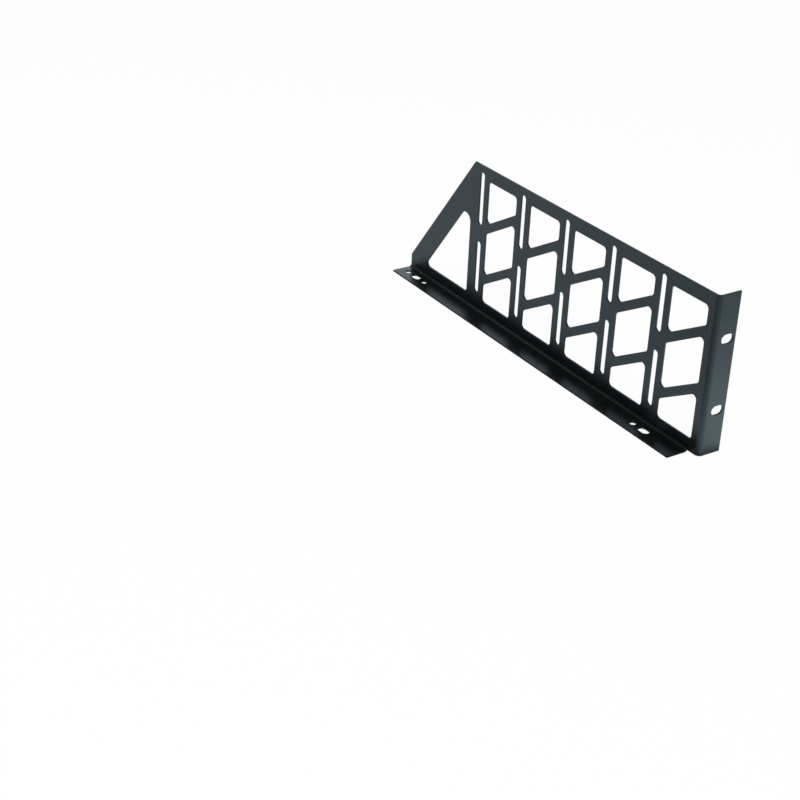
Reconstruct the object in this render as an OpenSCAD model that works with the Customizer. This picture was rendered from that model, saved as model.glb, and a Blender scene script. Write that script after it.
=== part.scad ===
// Rack mount ear bracket, right hand: one sheet of steel, cut flat and folded along two lines.
// X runs across the rack, outwards along the ear. Y runs from the front to the rear. Z is up.
// In the modules below, x = 0 is the web's inner face, y = 0 is the ear's front face and z = 0 is
// the web's bottom edge. The finished bracket stands on z = 0, centred on X and Y.

/* [Sheet] */
// Thickness of the steel
sheet = 1.5; // [0.8:0.1:2]
// Inner radius of both folds
bend_r = 2.5; // [1.5:0.1:3.5]

/* [Web] */
// Height of the web and of the ear
web_h = 128.5; // [120:0.5:140]
// Depth from the ear's front face to the rear edge
depth = 388.7; // [380:0.1:410]
// Length of the top edge, from the ear's front face to the top of the slant
top_l = 298.8; // [290:0.1:310]
// Height of the upright edge below the slant
rear_h = 12; // [9:0.1:20]

/* [Ear] */
// Reach of the ear, from the web's inner face to the ear's outer edge
ear_w = 20.4; // [18:0.1:30]
// Distance from the ear's outer edge to the middle of its slots
ear_slot_inset = 7.8; // [7.5:0.1:8.5]
// Height between the middles of the two ear slots, to suit the holes of a rack rail
ear_slot_pitch = 57.15; // [50:0.05:90]
// Length of an ear slot, across the ear
ear_slot_l = 10.7; // [8:0.1:12]
// Height of an ear slot
ear_slot_w = 7.5; // [5:0.1:8]

/* [Flange] */
// Width of the flange, from the web's inner face
flange_w = 19.1; // [18:0.1:30]
// Distance from the ear's front face to the front end of the flange
flange_front = 11.9; // [9:0.1:20]
// Width of the relief cut at the front end of the flange's fold
relief_w = 0.4; // [0.3:0.1:2]
// Distance from the flange's outer edge to the line of its holes
hole_inset = 10; // [8:0.1:11]
// Distance between neighbouring flange holes
hole_pitch = 12.7; // [11:0.1:16]
// Diameter of a round flange hole
hole_d = 5.3; // [3:0.1:6.5]
// Length of an oval flange hole, along the flange
oval_l = 10.4; // [8:0.1:12]
// Width of an oval flange hole
oval_w = 6.5; // [5:0.1:8]
// Distance from the ear's front face to the front oval hole
front_oval_y = 50.4; // [40:0.1:60]
// Distance from the rear edge to the rearmost round hole
rear_hole_inset = 10; // [8:0.1:20]

/* [Windows] */
// Distance from the ear's front face to the first column of windows
window_front = 9.7; // [8:0.1:15]
// Length of a window along the web
window_l = 39.4; // [32:0.1:40]
// Width of the post between two columns of windows
post_w = 18; // [12:0.1:20]
// Rim below the windows
rim_low = 10.1; // [8:0.1:14]
// Rim above the windows
rim_top = 11; // [8:0.1:14]
// Corner radius of a window
window_r = 3.5; // [1:0.1:4]

/* [Struts] */
// Width of a slanting strut
strut_w = 7.4; // [5:0.1:10]
// Rise of the struts towards the front
strut_angle = 30; // [20:1:32]
// Height between the middles of the two struts in a column
strut_pitch = 45.8; // [40:0.1:50]

/* [Slots] */
// Width of the upright slots in the posts
slot_w = 5.8; // [3:0.1:7]
// Distance from the web's bottom edge to the lower slots
slot_low = 15.7; // [12:0.1:20]
// Distance from the upper slots to the web's top edge
slot_top = 6.1; // [4:0.1:12]
// Bridge between the lower and the upper slots
slot_bridge = 15.3; // [8:0.1:25]

/* [Rear window] */
// Width of the post in front of the rear window
end_post_w = 22.8; // [18:0.1:26]
// Rim between the slant and the rear window
slant_rim = 18.7; // [12:0.1:22]
// Corner radius at the top of the rear window
rear_top_r = 7.2; // [2:0.1:8]

/* [Hidden] */
$fn = 64;
// Turn of one short flat of a window's rounded corner, in degrees
flat_angle = 10;
coat = [0.17, 0.19, 0.21];
outer_r = bend_r + sheet;
pitch = window_l + post_w;
// A column counts while its slot stays this far in front of the slant.
slant_clear = 8;
columns = floor((top_l - slant_clear - window_front - window_l - post_w / 2) / pitch) + 1;
window_low_z = rim_low;
window_top_z = web_h - rim_top;
window_mid_z = (window_low_z + window_top_z) / 2;
strut_half_z = strut_w / cos(strut_angle) / 2;
slot_l = (web_h - slot_low - slot_bridge - slot_top) / 2;
rear_window_y = window_front + columns * pitch - post_w + end_post_w;
slant_top = [top_l, web_h];
slant_low = [depth, rear_h];
slant_dir = (slant_low - slant_top) / norm(slant_low - slant_top);
// Any point of the slant, moved in by the rim, for the rear window's slanting side.
rim_point = slant_top + slant_rim * [slant_dir.y, -slant_dir.x];
flange_l = depth - flange_front;
hole_x = hole_inset - flange_w;
rear_hole_y = depth - rear_hole_inset;
rear_oval_y = rear_hole_y - hole_pitch;

function unit(v) = v / norm(v);

// Points of the arc that rounds the corner p of an anticlockwise outline, from a's side to b's.
function corner_arc(a, p, b, r) =
    let (
        half_angle = acos(unit(a - p) * unit(b - p)) / 2,
        centre = p + unit(unit(a - p) + unit(b - p)) * r / sin(half_angle),
        first = p + unit(a - p) * r / tan(half_angle) - centre,
        turn = 180 - 2 * half_angle,
        steps = round(turn / flat_angle)
    )
    [for (i = [0 : steps])
        let (angle = atan2(first.y, first.x) + turn * i / steps)
        centre + r * [cos(angle), sin(angle)]];

// Middle height of a strut at depth y. The struts rise towards the front of their column.
function strut_z(level, column, y) =
    window_mid_z + level * strut_pitch / 2
    - (y - column_y(column) - window_l / 2) * tan(strut_angle);
function column_y(column) = window_front + column * pitch;

// Height and depth at which the rear window's slanting side passes a given depth or height.
function rim_z(y) = rim_point.y + (y - rim_point.x) * slant_dir.y / slant_dir.x;
function rim_y(z) = rim_point.x + (z - rim_point.y) * slant_dir.x / slant_dir.y;

// A convex outline, listed anticlockwise, with each corner rounded to its own radius.
module rounded(points, radii) {
    n = len(points);
    polygon([for (i = [0 : n - 1])
        each corner_arc(points[(i + n - 1) % n], points[i], points[(i + 1) % n], radii[i])]);
}

// A slot with round ends, centred, running along its first axis.
module slot(length, width) {
    straight = length - width;
    square([straight, width], center = true);
    for (side = [0, 180])
        rotate(side)
            translate([straight / 2, 0])
                intersection() {
                    circle(d = width);
                    translate([0, -width])
                        square([width, 2 * width]);
                }
}

// The web's outline in depth and height, without the strips that belong to the folds.
module web_outline() {
    relief_y = flange_front - relief_w;
    relief_z = bend_r + relief_w;
    polygon([
        [outer_r, 0], [relief_y, 0], [relief_y, relief_z], [flange_front, relief_z],
        [flange_front, bend_r], [depth, bend_r], slant_low, slant_top, [outer_r, web_h]
    ]);
}

// The three windows of one column, above, between and below its two struts.
module window_column(column) {
    front = column_y(column);
    rear = front + window_l;
    corners = [for (i = [0 : 3]) window_r];
    rounded([
        [front, window_low_z], [rear, window_low_z],
        [rear, strut_z(-1, column, rear) - strut_half_z],
        [front, strut_z(-1, column, front) - strut_half_z]
    ], corners);
    rounded([
        [front, strut_z(-1, column, front) + strut_half_z],
        [rear, strut_z(-1, column, rear) + strut_half_z],
        [rear, strut_z(1, column, rear) - strut_half_z],
        [front, strut_z(1, column, front) - strut_half_z]
    ], corners);
    rounded([
        [front, strut_z(1, column, front) + strut_half_z],
        [rear, strut_z(1, column, rear) + strut_half_z],
        [rear, window_top_z], [front, window_top_z]
    ], corners);
}

// The lower and the upper slot in the post behind one column.
module post_slots(column) {
    y = column_y(column) + window_l + post_w / 2;
    for (z = [slot_low + slot_l / 2, web_h - slot_top - slot_l / 2])
        translate([y, z])
            rotate(90)
                slot(slot_l, slot_w);
}

// The window under the slant: a triangle, or a trapezium where the web's top cuts it off.
module rear_window() {
    low = [[rear_window_y, window_low_z], [rim_y(window_low_z), window_low_z]];
    if (rim_z(rear_window_y) < window_top_z)
        rounded([each low, [rear_window_y, rim_z(rear_window_y)]], [window_r, window_r, rear_top_r]);
    else
        rounded([each low, [rim_y(window_top_z), window_top_z], [rear_window_y, window_top_z]],
            [window_r, window_r, rear_top_r, window_r]);
}

module web() {
    color(coat)
        rotate([90, 0, 90])
            linear_extrude(sheet)
                difference() {
                    web_outline();
                    for (column = [0 : columns - 1]) {
                        window_column(column);
                        post_slots(column);
                    }
                    rear_window();
                }
}

// A quarter turn of sheet about Z, from +X to +Y, with its inner radius on the axis' side.
module fold(length) {
    color(coat)
        rotate_extrude(angle = 90)
            translate([bend_r, 0])
                square([sheet, length]);
}

module ear_fold() {
    translate([outer_r, outer_r, 0])
        rotate(180)
            fold(web_h);
}

module ear() {
    color(coat)
        translate([0, sheet, 0])
            rotate([90, 0, 0])
                linear_extrude(sheet)
                    difference() {
                        translate([outer_r, 0])
                            square([ear_w - outer_r, web_h]);
                        for (side = [-1, 1])
                            translate([ear_w - ear_slot_inset, web_h / 2 + side * ear_slot_pitch / 2])
                                slot(ear_slot_l, ear_slot_w);
                    }
}

module flange_fold() {
    translate([-bend_r, flange_front, bend_r])
        rotate([-90, 0, 0])
            fold(flange_l);
}

module flange() {
    color(coat)
        translate([0, 0, -sheet])
            linear_extrude(sheet)
                difference() {
                    translate([-flange_w, flange_front])
                        square([flange_w - bend_r, flange_l]);
                    for (y = [front_oval_y, rear_oval_y])
                        translate([hole_x, y])
                            rotate(90)
                                slot(oval_l, oval_w);
                    for (y = [front_oval_y + hole_pitch, rear_oval_y - hole_pitch, rear_hole_y])
                        translate([hole_x, y])
                            circle(d = hole_d);
                }
}

module bracket() {
    translate([(flange_w - ear_w) / 2, -depth / 2, sheet]) {
        web();
        ear_fold();
        ear();
        flange_fold();
        flange();
    }
}

bracket();
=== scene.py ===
import bpy
import math
from mathutils import Matrix, Vector


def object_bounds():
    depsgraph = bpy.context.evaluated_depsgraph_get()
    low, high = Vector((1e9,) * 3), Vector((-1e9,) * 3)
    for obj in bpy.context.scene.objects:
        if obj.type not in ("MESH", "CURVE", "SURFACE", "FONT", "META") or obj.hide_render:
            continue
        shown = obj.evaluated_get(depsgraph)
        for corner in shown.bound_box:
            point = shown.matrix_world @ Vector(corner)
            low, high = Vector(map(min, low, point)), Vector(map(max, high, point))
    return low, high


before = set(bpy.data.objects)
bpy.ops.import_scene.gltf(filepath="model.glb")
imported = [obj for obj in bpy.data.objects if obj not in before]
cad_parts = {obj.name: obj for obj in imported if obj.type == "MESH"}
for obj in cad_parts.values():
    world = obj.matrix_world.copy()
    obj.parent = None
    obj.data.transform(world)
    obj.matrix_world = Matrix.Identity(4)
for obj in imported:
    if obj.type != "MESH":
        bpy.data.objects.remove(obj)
bpy.context.view_layer.update()
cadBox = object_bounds()  # the folded sheet as packed, before any finish

scene = bpy.context.scene
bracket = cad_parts["bracket"]
boxLow, boxHigh = cadBox
boxSize = boxHigh - boxLow
mm = 0.001


# shader maths, written as plain expressions
class Value:  # one output socket of a shader tree; + - * / ** give Math nodes
    def __init__(self, shader, socket):
        self.shader = shader
        self.socket = socket

    def maths(self, operation, *others):  # None stands for this value
        return self.shader.node("ShaderNodeMath", {"operation": operation},
                                *[self if other is None else other for other in others])

    def __add__(self, other):
        return self.maths("ADD", None, other)

    def __sub__(self, other):
        return self.maths("SUBTRACT", None, other)

    def __rsub__(self, other):
        return self.maths("SUBTRACT", other, None)

    def __mul__(self, other):
        return self.maths("MULTIPLY", None, other)

    def __truediv__(self, other):
        return self.maths("DIVIDE", None, other)

    def __rtruediv__(self, other):
        return self.maths("DIVIDE", other, None)

    def __pow__(self, other):
        return self.maths("POWER", None, other)

    __radd__ = __add__
    __rmul__ = __mul__

    def atLeast(self, other):
        return self.maths("MAXIMUM", None, other)

    def part(self, name):  # another output of the same node
        return Value(self.shader, self.socket.node.outputs[name])


class Shader:  # a node tree, with one way to add any node
    def __init__(self, tree):
        self.tree = tree
        self.tree.nodes.clear()

    def node(self, kind, settings=None, *values, **named):
        made = self.tree.nodes.new(kind)
        for name, setting in (settings or {}).items():
            setattr(made, name, setting)
        for index, value in enumerate(values):
            self.plug(made.inputs[index], value)
        for name, value in named.items():
            self.plug(self.find(made, name), value)
        outputs = [out for out in made.outputs if out.enabled]
        return Value(self, outputs[0]) if outputs else made

    def find(self, made, name):  # baseColor finds the enabled socket Base Color
        for socket in made.inputs:
            if socket.enabled and socket.name.replace(" ", "").lower() == name.lower():
                return socket
        raise KeyError(name)

    def plug(self, socket, value):
        if isinstance(value, Value):
            self.tree.links.new(value.socket, socket)
        elif socket.type == "RGBA":
            socket.default_value = (*value, 1.0)
        else:
            socket.default_value = value

    def noise(self, place, size, detail, roughness):  # size is one wave, in metres
        return self.node("ShaderNodeTexNoise", {"noise_dimensions": "3D"}, Vector=place,
                         Scale=1 / size, Detail=detail, Roughness=roughness)

    def ramp(self, value, low, high, start=0.0, end=1.0):  # value from low..high to start..end
        return self.node("ShaderNodeMapRange", {"interpolation_type": "SMOOTHSTEP"}, Value=value,
                         FromMin=low, FromMax=high, ToMin=start, ToMax=end)

    def mixColour(self, factor, first, second):
        return self.node("ShaderNodeMix", {"data_type": "RGBA"}, Factor=factor, A=first, B=second)


def newMaterial(name):
    material = bpy.data.materials.new(name)
    material.use_nodes = True
    return material, Shader(material.node_tree)


camera = {
    "azimuth": 33.13,  # degrees to the left of straight on the ear
    "elevation": 28.27,
    "roll": 2.29,
    "distance": 1.2618,  # metres, from the aim point on the floor
    "aim": (-0.1434, -0.0147),  # metres, on the floor
    "lens": 74.18,
    "sensor": 36.0,
    "near": 0.05,
    "far": 60.0,
}


def makeCamera():
    azimuth = math.radians(camera["azimuth"])
    elevation = math.radians(camera["elevation"])
    ahead = Vector((math.sin(azimuth) * math.cos(elevation), math.cos(azimuth) * math.cos(elevation),
                    -math.sin(elevation)))
    eye = bpy.data.objects.new("camera", bpy.data.cameras.new("camera"))
    eye.data.lens = camera["lens"]
    eye.data.sensor_width = camera["sensor"]
    eye.data.clip_start = camera["near"]
    eye.data.clip_end = camera["far"]
    turn = ahead.to_track_quat("-Z", "Y").to_matrix() @ Matrix.Rotation(
        math.radians(camera["roll"]), 3, "Z")
    place = Vector((*camera["aim"], boxLow.z)) - camera["distance"] * ahead
    eye.matrix_world = Matrix.Translation(place) @ turn.to_4x4()
    scene.collection.objects.link(eye)
    scene.camera = eye
    print("camera at", [round(c, 3) for c in place])


makeCamera()

# powder coat: near-black, cool, semi-matt, with a fine orange peel
powderCoat = {
    "colour": (0.0016, 0.0012, 0.0012),
    "paler": (0.0026, 0.0022, 0.0023),
    "tint": (0.80, 0.96, 1.0),
    "roughness": (0.29, 0.37),
    "mottle": (22.0 * mm, 4.0, 0.6),  # size, detail and roughness of each noise
    "peel": (1.3 * mm, 2.0, 0.45),
    "grain": (0.30 * mm, 3.0, 0.6),
    "mottleRange": (0.3, 0.7),
    "roughnessRange": (0.35, 0.65),
    "peelDepth": 0.040 * mm,
    "grainDepth": 0.012 * mm,
}


def makePowderCoat():
    material, shader = newMaterial("powderCoat")
    place = shader.node("ShaderNodeTexCoord").part("Object")
    mottle, peel, grain = (shader.noise(place, *powderCoat[name]) for name in ("mottle", "peel", "grain"))
    patches = shader.ramp(mottle, *powderCoat["mottleRange"])
    colour = shader.mixColour(patches, powderCoat["colour"], powderCoat["paler"])
    roughness = shader.ramp(mottle * 0.5 + grain * 0.5, *powderCoat["roughnessRange"],
                            *powderCoat["roughness"])
    relief = peel * powderCoat["peelDepth"] + grain * powderCoat["grainDepth"]
    bump = shader.node("ShaderNodeBump", None, Height=relief, Strength=1.0, Distance=1.0)
    surface = shader.node("ShaderNodeBsdfPrincipled", None, BaseColor=colour, Roughness=roughness,
                          SpecularTint=powderCoat["tint"], Normal=bump)
    shader.node("ShaderNodeOutputMaterial", None, Surface=surface)
    return material


coat = makePowderCoat()
for index in range(len(bracket.material_slots)):
    bracket.material_slots[index].material = coat

# rounded edges: the coat softens every cut edge and keeps the flat faces flat
edges = {
    "radius": 0.15 * mm,
    "steps": 2,
    "angle": 35.0,
    "flat": 0.5,  # degrees between faces that are joined into one first
    "weld": 0.001 * mm,
    "faceWeight": 100,
}


def roundEdges(piece):
    weld = piece.modifiers.new("weld", "WELD")
    weld.merge_threshold = edges["weld"]
    flatten = piece.modifiers.new("flatten", "DECIMATE")
    flatten.decimate_type = "DISSOLVE"
    flatten.angle_limit = math.radians(edges["flat"])
    bevel = piece.modifiers.new("round", "BEVEL")
    bevel.width = edges["radius"]
    bevel.segments = edges["steps"]
    bevel.limit_method = "ANGLE"
    bevel.angle_limit = math.radians(edges["angle"])
    bevel.use_clamp_overlap = False
    bevel.miter_outer = "MITER_SHARP"
    tree = bpy.data.node_groups.new("shadeSmooth", "GeometryNodeTree")
    tree.interface.new_socket("Geometry", in_out="INPUT", socket_type="NodeSocketGeometry")
    tree.interface.new_socket("Geometry", in_out="OUTPUT", socket_type="NodeSocketGeometry")
    start = tree.nodes.new("NodeGroupInput")
    smooth = tree.nodes.new("GeometryNodeSetShadeSmooth")
    end = tree.nodes.new("NodeGroupOutput")
    tree.links.new(start.outputs[0], smooth.inputs["Geometry"])
    tree.links.new(smooth.outputs[0], end.inputs[0])
    piece.modifiers.new("smooth", "NODES").node_group = tree
    normals = piece.modifiers.new("normals", "WEIGHTED_NORMAL")
    normals.mode = "FACE_AREA"
    normals.weight = edges["faceWeight"]


roundEdges(bracket)
print("bracket finished")

# studio: a white floor whose mirrored glow carries painted pools of light and shade and a painted contact
# shadow, a bright backdrop behind, a dim room, one soft lamp overhead and a faint one behind
studio = {
    "cool": (0.88, 1.03, 1.12),
    "floorRadius": 12.0,
    "floorSides": 64,
    "floorColour": (0.97, 0.97, 0.97),
    "floorWhite": 0.95,  # share of the floor that a shadow leaves white
    "floorGlow": 0.81,  # how bright the coat mirrors the floor
    "pools": {  # painted pools of light and shade in the floor's mirrored glow: place, size, brighter or darker by
        # painted pool of light at the front right, seen only in the coat's reflections
        "bright": ((0.035, -0.235, 0.0), 0.13, 1.35),
        # painted shade at the front left, seen only in the coat's reflections
        "dim": ((-0.16, -0.18, 0.0), 0.13, -0.85),
    },
    "contactGlow": 0.2,  # painted contact shadow: share of that glow left close to the bracket
    "contactReach": 16.0 * mm,
    "backdropTurn": 67.0,  # degrees from +X towards +Y
    "backdropSpread": 40.0,
    "backdropHeight": 46.0,
    "backdropGlow": 2.8,
    "roomGlow": 0.07,
    "lamps": {  # place, size, power
        "overhead": ((-0.9, -0.9, 2.4), 1.6, 62.0),
        "behind": ((-0.50, 1.00, 0.78), 0.5, 0.6),
    },
}


def makeFloor():
    sides = studio["floorSides"]
    ring = [Vector((math.cos(a), math.sin(a), 0)) * studio["floorRadius"]
            for a in (2 * math.pi * i / sides for i in range(sides))]
    mesh = bpy.data.meshes.new("floor")
    mesh.from_pydata(ring, [], [tuple(range(sides))])
    ground = bpy.data.objects.new("floor", mesh)
    ground.location.z = boxLow.z
    scene.collection.objects.link(ground)
    material, shader = newMaterial("floor")
    path = shader.node("ShaderNodeLightPath")
    direct = path.part("Is Camera Ray").atLeast(path.part("Is Transmission Ray"))
    seen = direct.atLeast(path.part("Is Glossy Ray"))
    place = shader.node("ShaderNodeTexCoord").part("Object")
    level = studio["floorGlow"]
    # painted pools of light and shade added to the level of the floor's mirrored glow
    for centre, size, amount in studio["pools"].values():
        away = shader.node("ShaderNodeVectorMath", {"operation": "DISTANCE"}, place, centre)
        level = amount / ((away / size) ** 2.0 + 1.0) + level
    # painted contact shadow: the mirrored glow darkens close to the bracket's footprint
    beside = shader.node("ShaderNodeVectorMath", {"operation": "ABSOLUTE"}, place)
    outside = shader.node("ShaderNodeVectorMath", {"operation": "SUBTRACT"}, beside, boxSize / 2)
    outside = shader.node("ShaderNodeVectorMath", {"operation": "MAXIMUM"}, outside, (0.0, 0.0, 0.0))
    gap = shader.node("ShaderNodeVectorMath", {"operation": "LENGTH"}, outside)
    paintedContactShadow = shader.ramp(gap, 0.0, studio["contactReach"], studio["contactGlow"], 1.0)
    # the floor as the coat mirrors it, an even glow with painted pools of light and shade and a painted
    # contact shadow
    mirroredWithPaintedLight = shader.node("ShaderNodeVectorMath", {"operation": "SCALE"}, Vector=studio["cool"],
                           Scale=level * paintedContactShadow)
    glow = shader.node("ShaderNodeEmission", None,
                       Color=shader.mixColour(direct, mirroredWithPaintedLight, (1.0, 1.0, 1.0)), Strength=1.0)
    matt = shader.node("ShaderNodeBsdfDiffuse", None, Color=studio["floorColour"])
    both = shader.node("ShaderNodeMixShader", None, seen * studio["floorWhite"], matt, glow)
    shader.node("ShaderNodeOutputMaterial", None, Surface=both)
    material.cycles.emission_sampling = "NONE"
    mesh.materials.append(material)


def makeWorld():
    world = bpy.data.worlds.new("studio")
    world.use_nodes = True
    scene.world = world
    shader = Shader(world.node_tree)
    ahead = shader.node("ShaderNodeTexCoord").part("Generated")
    ahead = shader.node("ShaderNodeSeparateXYZ", None, ahead)
    turn = ahead.part("Y").maths("ARCTAN2", None, ahead.part("X"))
    aside = (turn - math.radians(studio["backdropTurn"])).maths("ABSOLUTE", None)
    across = shader.ramp(aside, 0.0, math.radians(studio["backdropSpread"]), 1.0, 0.0)
    rise = ahead.part("Z").maths("ARCSINE", None)
    upwards = shader.ramp(rise, 0.0, math.radians(studio["backdropHeight"]), 1.0, 0.0)
    level = across * upwards * studio["backdropGlow"] + studio["roomGlow"]
    light = shader.node("ShaderNodeVectorMath", {"operation": "SCALE"}, Vector=studio["cool"],
                        Scale=level)
    path = shader.node("ShaderNodeLightPath")
    direct = path.part("Is Camera Ray").atLeast(path.part("Is Transmission Ray"))
    sky = shader.node("ShaderNodeBackground", None,
                      Color=shader.mixColour(direct, light, (1.0, 1.0, 1.0)), Strength=1.0)
    shader.node("ShaderNodeOutputWorld", None, Surface=sky)


def makeLamp(name, place, size, power):
    lamp = bpy.data.objects.new(name, bpy.data.lights.new(name, "AREA"))
    lamp.data.shape = "DISK"
    lamp.data.size = size
    lamp.data.energy = power
    place = Vector(place)
    lamp.matrix_world = Matrix.Translation(place) @ place.to_track_quat("Z", "Y").to_matrix().to_4x4()
    scene.collection.objects.link(lamp)


makeFloor()
makeWorld()
for name, (place, size, power) in studio["lamps"].items():
    makeLamp(name, place, size, power)
scene.view_settings.view_transform = "Standard"
print("studio ready")
